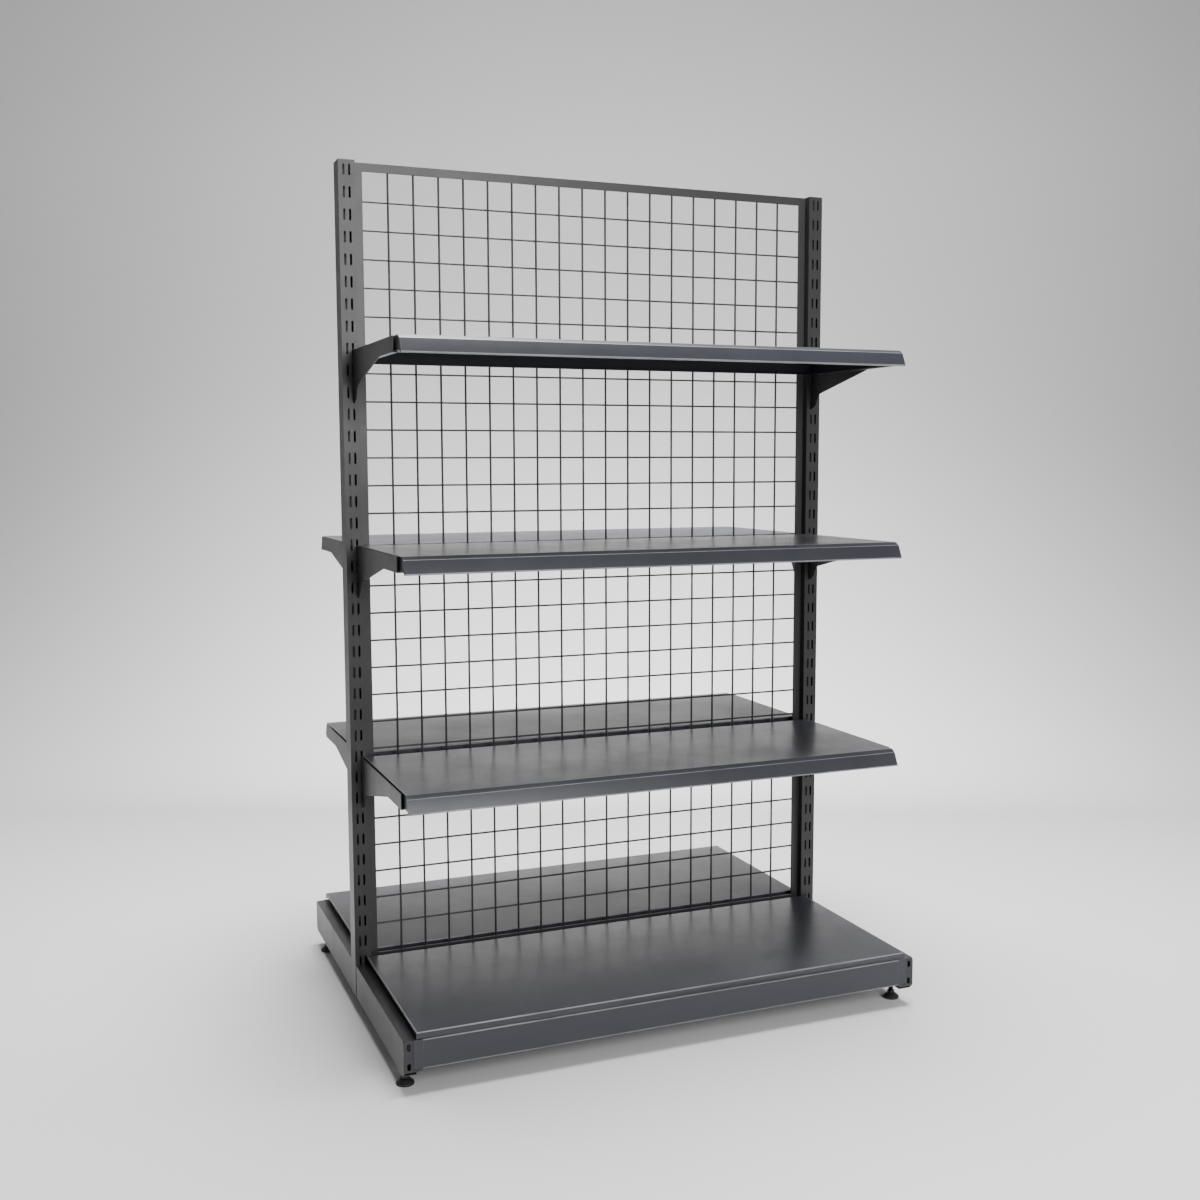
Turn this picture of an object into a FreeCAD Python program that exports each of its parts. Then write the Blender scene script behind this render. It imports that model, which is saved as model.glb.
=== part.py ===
import FreeCAD, Part
import math
import os

# Double-sided gondola shelving unit, millimetres, +Z up.
# Origin: centre of the unit on the floor. X runs along the bay, -Y is the fully shelved front.

# ---- driving dimensions ------------------------------------------------------------------
TOTAL_HEIGHT = 2000.0
BAY_PITCH = 1224.0  # centre to centre of the two uprights
SHELF_LENGTH = 1200.0

UPRIGHT_WIDTH = 38.0
UPRIGHT_DEPTH = 50.0
UPRIGHT_WALL = 2.0
UPRIGHT_WEB = 2.0  # inner wall across the tube, behind both rows of slots
UPRIGHT_FOOT_Z = 41.0

SLOT_PITCH = 50.0
SLOT_LENGTH = 26.0
SLOT_WIDTH = 5.0
SLOT_ROWS = 39
SLOT_COLUMN_OFFSET = 6.5  # each side of the upright's centre line
FIRST_SLOT_DROP = 22.0  # top of the unit down to the first slot's centre

SHEET = 1.2  # shelf, deck and kick plate steel
PLATE = 2.0  # bracket and leg steel

CELL_COLUMNS = 19
CELL_HEIGHT = 65.0
PANEL_TOP_Z = 1999.0
PANEL_GAP = 1.0
PANELS = ("top", "mid", "low")
PANEL_BOTTOM_Z = {"top": 1104.0, "mid": 600.0, "low": 118.0}  # joints hidden behind the shelf backs
TOP_CROSS_WIRE_Z = {"top": 1914.0, "mid": 1028.0, "low": 532.0}
CROSS_WIRE_COUNT = {"top": 12, "mid": 7, "low": 6}
PANEL_SIDE_GAP = 0.5
BAR_WIDTH = 20.0
BAR_THICKNESS = 4.0
UPRIGHT_WIRE_R = 2.5
CROSS_WIRE_R = 2.25
WIRE_END_INSET = 5.0  # wire ends stop this far inside the frame's outer edge
WIRE_Y = 0.0  # centre plane of the vertical wires

CLIP_SIZE = 18.0
CLIP_THICKNESS = 2.0
CLIP_END_OFFSET = 60.0  # clip centre to the panel's top or bottom edge
SCREW_HEAD_R = 4.0
SCREW_HEAD_H = 2.2
SCREW_SHANK_R = 2.0
SCREW_HOLE_R = 2.05
SCREW_LENGTH = 7.0  # under the head

LEVELS = {"top": 1576.0, "mid": 1126.0, "low": 626.0}  # shelf surfaces above the floor
SIDES = {"top": ("front",), "mid": ("front", "rear"), "low": ("front", "rear")}
SHELF_BACK_Y = -27.0
SHELF_EDGE_Y = -431.0  # where the flat surface turns down into the front lip
SHELF_FLANGE = 33.0
SHELF_HEM = 8.0
LIP_CHAMFER_OUT = 12.0
LIP_CHAMFER_DROP = 7.0
LIP_FACE_OUT = 15.0
LIP_FACE_DROP = 31.0
LIP_RETURN = 12.0
LIP_CURL = 6.0

HAT_WIDTH = 60.0
HAT_HEIGHT = 18.0
HAT_BRIM = 14.0
HAT_END_GAP = 12.0
SHELF_HAT_Y = -235.0
DECK_HAT_Y = -265.0

BRACKET_BACK_Y = -25.5
BRACKET_FRONT_Y = -412.0
BRACKET_TOP_DROP = 1.0  # top edge below the shelf surface
BRACKET_FRONT_DEPTH = 35.0
BRACKET_SLOPE_START_Y = -290.0
BRACKET_KNEE = (-66.0, 84.0)  # (Y, drop below the shelf surface)
BRACKET_TOE = (-50.0, 112.0)
BRACKET_TIP = (-28.5, 122.0)
LEDGE_WIDTH = 12.0
HOOK_ROWS = 3
HOOK_NECK = 12.0
HOOK_DROP = 8.0
HOOK_REACH = 4.0  # hook thickness behind the upright's wall
HOOK_CLEAR = 0.5
HOOK_SEAT = 0.25  # the 2 mm hook sits this far above the lowest point of the rounded slot end

DECK_Z = 138.0
DECK_EDGE_Y = -496.0
DECK_END_X = 603.0
DECK_FRONT_FLANGE = 14.0
DECK_BACK_FLANGE = 16.0  # short enough to clear the legs
DECK_LIP = 6.0
DECK_STEP_X = 594.0
DECK_FOOT_FRONT_Y = -465.0  # the standing flange stays clear of the kick plate

LEG_TOP_Z = 120.0
LEG_BOTTOM_Z = 41.0
LEG_OUTER_X = 630.0
LEG_INNER_X = 590.0
LEG_FRONT_Y = -492.0
LEG_BOTTOM_FLANGE = 30.0
LEG_SLOT_LENGTH = 16.0
LEG_SLOT_WIDTH = 8.0
LEG_SLOT_Z = (106.0, 64.0)
LEG_CHAMFER = 12.0
LEG_BOLT_Z = 103.0  # between two slot rows of the upright
LEG_CORNER_R = 6.0

KICK_TOP_Z = 121.0
KICK_BOTTOM_Z = 56.0
KICK_END_X = 609.0  # covers the legs' inner slots
KICK_GAP = 0.6
KICK_RETURN = 14.0
KICK_RETURN_END_X = 588.0
KICK_HEM = 5.0
KICK_TAB_HEIGHT = 15.0
KICK_TAB_REACH = 8.0  # behind the leg's front plate
KICK_NOTCH = 12.0

FOOT_Y = -428.0
FOOT_PAD_R = 20.0
FOOT_PAD_EDGE = 5.0
FOOT_PAD_TOP_R = 11.0
FOOT_PAD_HEIGHT = 12.0
FOOT_SOCKET_Z = 4.0
STUD_R = 6.0
STUD_CLEAR = 0.06
STUD_BOTTOM_Z = 4.2
STUD_TOP_Z = 96.0
STUD_HEX_FLATS = 17.0
STUD_HEX_Z = (13.0, 19.0)
NUT_FLATS = 19.0
NUT_HEIGHT = 9.0
BOLT_FLATS = 13.0
BOLT_HEAD = 5.3
BOLT_R = 4.0
BOLT_HOLE_R = 4.3
BOLT_LENGTH = 16.0
BOLT_NUT_HEIGHT = 6.5

# ---- worked out --------------------------------------------------------------------------
UPRIGHT_X = BAY_PITCH / 2
UPRIGHT_INNER_X = UPRIGHT_X - UPRIGHT_WIDTH / 2
UPRIGHT_FACE_Y = UPRIGHT_DEPTH / 2
BRACKET_X = UPRIGHT_X - SLOT_COLUMN_OFFSET  # brackets hook in the column nearer the bay
PANEL_HALF = UPRIGHT_INNER_X - PANEL_SIDE_GAP
CELL_WIDTH = (2 * PANEL_HALF - 2 * BAR_WIDTH) / CELL_COLUMNS
BAR_BACK_Y = WIRE_Y - UPRIGHT_WIRE_R
BAR_FRONT_Y = BAR_BACK_Y - BAR_THICKNESS
CROSS_WIRE_Y = WIRE_Y + UPRIGHT_WIRE_R + CROSS_WIRE_R
CLIP_HOLE_Y = BAR_BACK_Y + CLIP_SIZE / 2 + CLIP_THICKNESS
SHELF_END_X = SHELF_LENGTH / 2
DECK_BACK_Y = SHELF_BACK_Y

X_AXIS = FreeCAD.Vector(1, 0, 0)
Y_AXIS = FreeCAD.Vector(0, 1, 0)
Z_AXIS = FreeCAD.Vector(0, 0, 1)
CENTRE = FreeCAD.Vector(0, 0, 0)


def slot_z(row):
    """Height of the centre of a slot row, counted from the top."""
    return TOTAL_HEIGHT - FIRST_SLOT_DROP - row * SLOT_PITCH


# ---- shape helpers -----------------------------------------------------------------------
def box(x, y, z):
    """A box from three (low, high) pairs."""
    (x0, x1), (y0, y1), (z0, z1) = sorted(x), sorted(y), sorted(z)
    return Part.makeBox(x1 - x0, y1 - y0, z1 - z0, FreeCAD.Vector(x0, y0, z0))


def rod(radius, start, direction, length):
    return Part.makeCylinder(radius, length, FreeCAD.Vector(*start), direction)


def hexagon(flats, height, base, direction=Z_AXIS):
    """A hexagonal prism that stands on base."""
    radius = flats / math.sqrt(3)
    turn = FreeCAD.Rotation(Z_AXIS, direction)
    corners = []
    for i in range(7):
        angle = math.radians(60 * i)
        flat = FreeCAD.Vector(radius * math.cos(angle), radius * math.sin(angle), 0)
        corners.append(FreeCAD.Vector(*base) + turn.multVec(flat))
    return Part.Face(Part.makePolygon(corners)).extrude(direction * height)


def slot_cutter(x, z, width, length, y):
    """Round-ended upright slot, cut along Y between the pair y."""
    r = width / 2
    straight = length / 2 - r
    middle = box((x - r, x + r), y, (z - straight, z + straight))
    ends = []
    for end_z in (z - straight, z + straight):
        ends.append(rod(r, (x, y[0], end_z), Y_AXIS, y[1] - y[0]))
    return middle.multiFuse(ends)


def outline_yz(points, x0, x1):
    """A prism between x0 and x1 with its outline given as (Y, Z) points."""
    corners = [FreeCAD.Vector(x0, y, z) for y, z in points]
    corners.append(corners[0])
    return Part.Face(Part.makePolygon(corners)).extrude(FreeCAD.Vector(x1 - x0, 0, 0))


def bent_sheet(points, thickness, x0, x1):
    """Sheet folded along the (Y, Z) line points, thickness to the left of the line, mitred folds."""
    inner = []
    for i, (y, z) in enumerate(points):
        normals = []
        if i > 0:
            normals.append(left_normal(points[i - 1], points[i]))
        if i < len(points) - 1:
            normals.append(left_normal(points[i], points[i + 1]))
        ny = sum(n[0] for n in normals)
        nz = sum(n[1] for n in normals)
        reach = thickness * len(normals) / (ny * ny + nz * nz)
        inner.append((y + ny * reach, z + nz * reach))
    return outline_yz(list(points) + inner[::-1], x0, x1)


def left_normal(a, b):
    dy = b[0] - a[0]
    dz = b[1] - a[1]
    length = math.hypot(dy, dz)
    return (-dz / length, dy / length)


def both_ends(shape):
    """The shape and its mirror image at the other end of the bay."""
    return [shape, shape.mirror(CENTRE, X_AXIS)]


def joined(shapes):
    """One clean solid from overlapping or touching shapes."""
    return shapes[0].multiFuse(shapes[1:]).removeSplitter()


def to_rear(shape):
    """Turns a front piece half a turn about Z, to the rear of the unit."""
    turned = shape.copy()
    turned.rotate(CENTRE, Z_AXIS, 180)
    return turned


def save(name, shape):
    shape.exportStep("parts/" + name + ".step")


# ---- uprights ----------------------------------------------------------------------------
def upright():
    """Rectangular tube at +X with a web inside and two columns of hook slots in its front and rear faces."""
    half = UPRIGHT_WIDTH / 2
    span_z = (UPRIGHT_FOOT_Z, TOTAL_HEIGHT)
    outside = box((UPRIGHT_X - half, UPRIGHT_X + half), (-UPRIGHT_FACE_Y, UPRIGHT_FACE_Y), span_z)
    bore_x = (UPRIGHT_X - half + UPRIGHT_WALL, UPRIGHT_X + half - UPRIGHT_WALL)
    bore_y = UPRIGHT_FACE_Y - UPRIGHT_WALL
    web_y = UPRIGHT_WEB / 2
    tube = outside.cut(box(bore_x, (-bore_y, -web_y), span_z)).cut(box(bore_x, (web_y, bore_y), span_z))
    slots = []
    for row in range(SLOT_ROWS):
        for offset in (-SLOT_COLUMN_OFFSET, SLOT_COLUMN_OFFSET):
            for depth in ((-UPRIGHT_DEPTH, -bore_y + UPRIGHT_WALL), (bore_y - UPRIGHT_WALL, UPRIGHT_DEPTH)):
                slots.append(slot_cutter(UPRIGHT_X + offset, slot_z(row), SLOT_WIDTH, SLOT_LENGTH, depth))
    holes = []
    hole_start = UPRIGHT_X - half - UPRIGHT_WALL
    for z in clip_places():
        holes.append(rod(SCREW_HOLE_R, (hole_start, CLIP_HOLE_Y, z), X_AXIS, 3 * UPRIGHT_WALL))
    for face_y in (-UPRIGHT_FACE_Y, bore_y):
        holes.append(rod(BOLT_HOLE_R, (UPRIGHT_X, face_y, LEG_BOLT_Z), Y_AXIS, UPRIGHT_WALL))
    return tube.cut(Part.makeCompound(slots)).cut(Part.makeCompound(holes))


# ---- wire mesh back panels ---------------------------------------------------------------
def panel_spans():
    """(bottom, top) height of each back panel."""
    spans = {}
    top = PANEL_TOP_Z
    for name in PANELS:
        spans[name] = (PANEL_BOTTOM_Z[name], top)
        top = PANEL_BOTTOM_Z[name] - PANEL_GAP
    return spans


def panel_frame(bottom, top):
    """Flat-bar frame, welded at its corners."""
    depth = (BAR_FRONT_Y, BAR_BACK_Y)
    outside = box((-PANEL_HALF, PANEL_HALF), depth, (bottom, top))
    window_x = PANEL_HALF - BAR_WIDTH
    window = box((-window_x, window_x), depth, (bottom + BAR_WIDTH, top - BAR_WIDTH))
    return outside.cut(window)


def upright_wires(bottom, top):
    wires = []
    length = top - bottom - 2 * WIRE_END_INSET
    for i in range(1, CELL_COLUMNS):
        x = -PANEL_HALF + BAR_WIDTH + i * CELL_WIDTH
        wires.append(rod(UPRIGHT_WIRE_R, (x, WIRE_Y, bottom + WIRE_END_INSET), Z_AXIS, length))
    return Part.makeCompound(wires)


def cross_wires(top_z, count):
    wires = []
    start = -PANEL_HALF + WIRE_END_INSET
    for i in range(count):
        z = top_z - i * CELL_HEIGHT
        wires.append(rod(CROSS_WIRE_R, (start, CROSS_WIRE_Y, z), X_AXIS, -2 * start))
    return Part.makeCompound(wires)


def clip_places():
    """Heights of the clips that hold each panel to the uprights, two a side."""
    heights = []
    for bottom, top in panel_spans().values():
        heights += [bottom + CLIP_END_OFFSET, top - CLIP_END_OFFSET]
    return heights


def panel_clips():
    """Angle clips: one leg against the upright's inner face, the other behind the stile."""
    clips = []
    for z in clip_places():
        span_z = (z - CLIP_SIZE / 2, z + CLIP_SIZE / 2)
        back_y = (BAR_BACK_Y, BAR_BACK_Y + CLIP_THICKNESS)
        flat_x = (UPRIGHT_INNER_X - CLIP_THICKNESS, UPRIGHT_INNER_X)
        flat = box(flat_x, (BAR_BACK_Y, BAR_BACK_Y + CLIP_SIZE), span_z)
        arm = box((PANEL_HALF - CLIP_SIZE + PANEL_GAP, UPRIGHT_INNER_X), back_y, span_z)
        hole = rod(SCREW_HOLE_R, (UPRIGHT_INNER_X - CLIP_THICKNESS, CLIP_HOLE_Y, z), X_AXIS, CLIP_THICKNESS)
        clips += both_ends(joined([flat, arm]).cut(hole))
    return Part.makeCompound(clips)


def clip_screws():
    """Pan-head screws through the clips."""
    screws = []
    head_x = UPRIGHT_INNER_X - CLIP_THICKNESS - SCREW_HEAD_H
    for z in clip_places():
        head = rod(SCREW_HEAD_R, (head_x, CLIP_HOLE_Y, z), X_AXIS, SCREW_HEAD_H)
        head = head.makeFillet(SCREW_HEAD_H * 0.6, [head.Edges[2]])
        shank_length = SCREW_HEAD_H / 2 + SCREW_LENGTH
        shank = rod(SCREW_SHANK_R, (head_x + SCREW_HEAD_H / 2, CLIP_HOLE_Y, z), X_AXIS, shank_length)
        screws += both_ends(joined([head, shank]))
    return Part.makeCompound(screws)


# ---- base legs ---------------------------------------------------------------------------
def base_leg():
    """Front leg at +X: outer web, top and bottom flanges, slotted front plate and rear plate."""
    depth = (LEG_FRONT_Y, -UPRIGHT_FACE_Y)
    height = (LEG_BOTTOM_Z, LEG_TOP_Z)
    web = box((LEG_OUTER_X - PLATE, LEG_OUTER_X), depth, height)
    top = box((LEG_INNER_X, LEG_OUTER_X), depth, (LEG_TOP_Z - PLATE, LEG_TOP_Z))
    bottom_x = (LEG_OUTER_X - LEG_BOTTOM_FLANGE, LEG_OUTER_X)
    bottom = box(bottom_x, depth, (LEG_BOTTOM_Z, LEG_BOTTOM_Z + PLATE))
    front = box((LEG_INNER_X, LEG_OUTER_X), (LEG_FRONT_Y, LEG_FRONT_Y + PLATE), height)
    rear = box((UPRIGHT_INNER_X, LEG_OUTER_X), (-UPRIGHT_FACE_Y - PLATE, -UPRIGHT_FACE_Y), height)
    cuts = []
    for z in LEG_SLOT_Z:
        for offset in (-SLOT_COLUMN_OFFSET, SLOT_COLUMN_OFFSET):
            depth = (LEG_FRONT_Y - PLATE, LEG_FRONT_Y + 2 * PLATE)
            cuts.append(slot_cutter(UPRIGHT_X + offset, z, LEG_SLOT_WIDTH, LEG_SLOT_LENGTH, depth))
    foot_hole_r = STUD_R + 1.0
    cuts.append(rod(foot_hole_r, (UPRIGHT_X, FOOT_Y, LEG_BOTTOM_Z - PLATE), Z_AXIS, 3 * PLATE))
    cuts.append(rod(BOLT_HOLE_R, (UPRIGHT_X, -UPRIGHT_FACE_Y - 2 * PLATE, LEG_BOLT_Z), Y_AXIS, 3 * PLATE))
    toe = [
        (LEG_FRONT_Y - 1, LEG_BOTTOM_Z - 1),
        (LEG_FRONT_Y + LEG_CHAMFER, LEG_BOTTOM_Z - 1),
        (LEG_FRONT_Y - 1, LEG_BOTTOM_Z + LEG_CHAMFER),
    ]
    cuts.append(outline_yz(toe, LEG_INNER_X - 1, LEG_OUTER_X + 1))
    leg = joined([web, top, bottom, front, rear]).cut(Part.makeCompound(cuts))
    return leg.cut(rounded_corner())


def rounded_corner():
    """Cutter that rounds the front plate's top outer corner, seen from the front."""
    r = LEG_CORNER_R
    depth = 2 * PLATE
    start_y = LEG_FRONT_Y - PLATE / 2
    corner_x = (LEG_OUTER_X - r, LEG_OUTER_X + 1)
    block = box(corner_x, (start_y, start_y + depth), (LEG_TOP_Z - r, LEG_TOP_Z + 1))
    return block.cut(rod(r, (LEG_OUTER_X - r, start_y, LEG_TOP_Z - r), Y_AXIS, depth))


def leg_weld_nut():
    nut = hexagon(NUT_FLATS, NUT_HEIGHT, (UPRIGHT_X, FOOT_Y, LEG_BOTTOM_Z + PLATE))
    return nut.cut(rod(STUD_R + STUD_CLEAR, (UPRIGHT_X, FOOT_Y, LEG_BOTTOM_Z), Z_AXIS, NUT_HEIGHT * 2))


def leg_bolt():
    """Hex bolt that clamps the leg's rear plate to the upright's face."""
    head_y = -UPRIGHT_FACE_Y - PLATE - BOLT_HEAD
    head = hexagon(BOLT_FLATS, BOLT_HEAD, (UPRIGHT_X, head_y, LEG_BOLT_Z), Y_AXIS)
    shank = rod(BOLT_R, (UPRIGHT_X, head_y + BOLT_HEAD / 2, LEG_BOLT_Z), Y_AXIS, BOLT_LENGTH)
    return joined([head, shank])


def leg_bolt_nut():
    """Weld nut on the inside of the upright's face."""
    base = (UPRIGHT_X, -UPRIGHT_FACE_Y + UPRIGHT_WALL, LEG_BOLT_Z)
    nut = hexagon(BOLT_FLATS, BOLT_NUT_HEIGHT, base, Y_AXIS)
    return nut.cut(rod(BOLT_R + STUD_CLEAR, base, Y_AXIS, BOLT_NUT_HEIGHT))


# ---- levelling feet ----------------------------------------------------------------------
def foot_pad():
    """Round plastic pad with a sloping shoulder and a socket for the stud."""
    profile = [
        (0, 0),
        (FOOT_PAD_R - 1, 0),
        (FOOT_PAD_R, 1),
        (FOOT_PAD_R, FOOT_PAD_EDGE),
        (FOOT_PAD_TOP_R, FOOT_PAD_HEIGHT),
        (STUD_R + STUD_CLEAR, FOOT_PAD_HEIGHT),
        (STUD_R + STUD_CLEAR, FOOT_SOCKET_Z),
        (0, FOOT_SOCKET_Z),
    ]
    corners = [FreeCAD.Vector(r, 0, z) for r, z in profile]
    corners.append(corners[0])
    pad = Part.Face(Part.makePolygon(corners)).revolve(CENTRE, Z_AXIS, 360)
    pad.translate(FreeCAD.Vector(UPRIGHT_X, FOOT_Y, 0))
    return pad


def foot_stud():
    """Threaded stud, drawn at its outer diameter, with the hexagon that turns it."""
    stud = rod(STUD_R, (UPRIGHT_X, FOOT_Y, STUD_BOTTOM_Z), Z_AXIS, STUD_TOP_Z - STUD_BOTTOM_Z)
    hex_height = STUD_HEX_Z[1] - STUD_HEX_Z[0]
    collar = hexagon(STUD_HEX_FLATS, hex_height, (UPRIGHT_X, FOOT_Y, STUD_HEX_Z[0]))
    return joined([stud, collar])


# ---- shelves -----------------------------------------------------------------------------
def shelf(level):
    """Folded pan: flat surface, rear and side flanges, and a hollow front lip."""
    chamfer_y = SHELF_EDGE_Y - LIP_CHAMFER_OUT
    lip_y = chamfer_y - LIP_FACE_OUT
    lip_z = level - LIP_CHAMFER_DROP - LIP_FACE_DROP
    line = [
        (SHELF_BACK_Y, level - SHELF_FLANGE),
        (SHELF_BACK_Y, level),
        (SHELF_EDGE_Y, level),
        (chamfer_y, level - LIP_CHAMFER_DROP),
        (lip_y, lip_z),
        (lip_y + LIP_RETURN, lip_z),
        (lip_y + LIP_RETURN, lip_z + LIP_CURL),
    ]
    pan = bent_sheet(line, SHEET, -SHELF_END_X, SHELF_END_X)
    hem_y = (SHELF_BACK_Y - SHELF_HEM, SHELF_BACK_Y)
    low = level - SHELF_FLANGE
    inside_x = SHELF_END_X - SHEET
    rear_hem = box((-inside_x, inside_x), hem_y, (low, low + SHEET))
    end_y = (SHELF_EDGE_Y + PLATE, SHELF_BACK_Y)
    lip_run = LIP_FACE_OUT / LIP_FACE_DROP * (SHELF_FLANGE - LIP_CHAMFER_DROP)
    flange_corners = [
        (SHELF_BACK_Y, low),
        (SHELF_BACK_Y, level),
        (end_y[0], level),
        (chamfer_y + PLATE, level - LIP_CHAMFER_DROP),
        (chamfer_y - lip_run + PLATE, low),
    ]
    flange = outline_yz(flange_corners, inside_x, SHELF_END_X)
    hem = box((SHELF_END_X - SHELF_HEM, SHELF_END_X), end_y, (low, low + SHEET))
    return joined([pan, rear_hem] + both_ends(joined([flange, hem])))


def hat_section(level, centre_y, end_x):
    """Hat-shaped stiffener spot-welded under a shelf or deck."""
    top = level - SHEET
    low = top - HAT_HEIGHT
    half = HAT_WIDTH / 2
    crown = half - HAT_BRIM
    line = [
        (centre_y + half, top - SHEET),
        (centre_y + crown, top - SHEET),
        (centre_y + crown, low),
        (centre_y - crown, low),
        (centre_y - crown, top - SHEET),
        (centre_y - half, top - SHEET),
    ]
    return bent_sheet(line, -SHEET, -end_x, end_x)


# ---- shelf brackets ----------------------------------------------------------------------
def bracket(level):
    """Bracket at +X: tapered plate, inward ledge under the shelf's side flange, and rear hooks."""
    x0 = BRACKET_X - PLATE / 2
    x1 = BRACKET_X + PLATE / 2
    top = level - BRACKET_TOP_DROP
    outline = [
        (BRACKET_BACK_Y, top),
        (BRACKET_FRONT_Y, top),
        (BRACKET_FRONT_Y, level - BRACKET_FRONT_DEPTH),
        (BRACKET_SLOPE_START_Y, level - BRACKET_FRONT_DEPTH),
        (BRACKET_KNEE[0], level - BRACKET_KNEE[1]),
        (BRACKET_TOE[0], level - BRACKET_TOE[1]),
        (BRACKET_TIP[0], level - BRACKET_TIP[1]),
        (BRACKET_BACK_Y, level - BRACKET_TIP[1]),
    ]
    plate = outline_yz(outline, x0, x1)
    ledge_top = level - SHELF_FLANGE
    ledge_y = (BRACKET_FRONT_Y, BRACKET_KNEE[0])
    ledge = box((x1 - LEDGE_WIDTH, x1), ledge_y, (ledge_top - PLATE, ledge_top))
    pieces = [plate, ledge]
    first_row = round((TOTAL_HEIGHT - FIRST_SLOT_DROP - level) / SLOT_PITCH)
    behind_y = -UPRIGHT_FACE_Y + UPRIGHT_WALL + HOOK_CLEAR
    for row in range(first_row, first_row + HOOK_ROWS):
        seat = slot_z(row) - SLOT_LENGTH / 2 + HOOK_SEAT
        neck = box((x0, x1), (BRACKET_BACK_Y, behind_y + HOOK_REACH), (seat, seat + HOOK_NECK))
        hook = box((x0, x1), (behind_y, behind_y + HOOK_REACH), (seat - HOOK_DROP, seat + HOOK_NECK))
        pieces += [neck, hook]
    return joined(pieces)


# ---- base decks and kick plates ----------------------------------------------------------
def deck():
    """Folded base deck whose stepped side flanges stand on the legs."""
    line = [
        (DECK_BACK_Y, DECK_Z - DECK_BACK_FLANGE),
        (DECK_BACK_Y, DECK_Z),
        (DECK_EDGE_Y, DECK_Z),
        (DECK_EDGE_Y, DECK_Z - DECK_FRONT_FLANGE),
    ]
    pan = bent_sheet(line, SHEET, -DECK_END_X, DECK_END_X)
    lip = box((DECK_END_X - SHEET, DECK_END_X), (DECK_EDGE_Y, DECK_BACK_Y), (DECK_Z - DECK_LIP, DECK_Z))
    step_y = (DECK_FOOT_FRONT_Y, DECK_BACK_Y - PLATE)
    step = box((DECK_STEP_X, DECK_END_X), step_y, (DECK_Z - DECK_LIP, DECK_Z - DECK_LIP + SHEET))
    foot = box((DECK_STEP_X, DECK_STEP_X + SHEET), step_y, (LEG_TOP_Z, DECK_Z - DECK_LIP + SHEET))
    return joined([pan] + both_ends(joined([lip, step, foot])))


def kick_plate():
    """Front skirt: face, top and bottom returns, clipped lower corners, and tabs for the legs' slots."""
    back_y = LEG_FRONT_Y - KICK_GAP
    face_y = (back_y - SHEET, back_y)
    face = box((-KICK_END_X, KICK_END_X), face_y, (KICK_BOTTOM_Z, KICK_TOP_Z))
    return_y = (back_y - SHEET, back_y + KICK_RETURN)
    return_x = (-KICK_RETURN_END_X, KICK_RETURN_END_X)
    top = box(return_x, return_y, (KICK_TOP_Z - SHEET, KICK_TOP_Z))
    bottom = box(return_x, return_y, (KICK_BOTTOM_Z, KICK_BOTTOM_Z + SHEET))
    hem_z = (KICK_BOTTOM_Z, KICK_BOTTOM_Z + KICK_HEM)
    hem = box(return_x, (back_y + KICK_RETURN - SHEET, back_y + KICK_RETURN), hem_z)
    body = joined([face, top, bottom, hem])
    notches = []
    for end in (-1, 1):
        corner = [
            FreeCAD.Vector(end * (KICK_END_X + 1), face_y[0] - 1, KICK_BOTTOM_Z - 1),
            FreeCAD.Vector(end * (KICK_END_X + 1), face_y[0] - 1, KICK_BOTTOM_Z + KICK_NOTCH / 3),
            FreeCAD.Vector(end * (KICK_END_X - KICK_NOTCH), face_y[0] - 1, KICK_BOTTOM_Z - 1),
        ]
        corner.append(corner[0])
        notches.append(Part.Face(Part.makePolygon(corner)).extrude(FreeCAD.Vector(0, 2 * SHEET + 1, 0)))
    body = body.cut(Part.makeCompound(notches))
    tabs = []
    x0 = BRACKET_X - SHEET / 2
    x1 = BRACKET_X + SHEET / 2
    for z in LEG_SLOT_Z:
        tab_z = (z - KICK_TAB_HEIGHT / 2, z + KICK_TAB_HEIGHT / 2)
        tab = box((x0, x1), (face_y[0], LEG_FRONT_Y + PLATE + KICK_TAB_REACH), tab_z)
        tabs += both_ends(tab)
    return joined([body] + tabs)


# ---- write every piece -------------------------------------------------------------------
def save_pair(name, shape):
    """The piece at +X as NAME_right and its mirror image as NAME_left."""
    right, left = both_ends(shape)
    save(name + "_right", right)
    save(name + "_left", left)


def in_four_places(shape):
    """A front piece at +X, copied to both ends of the front and the rear."""
    front = both_ends(shape)
    return front + [to_rear(piece) for piece in front]


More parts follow.
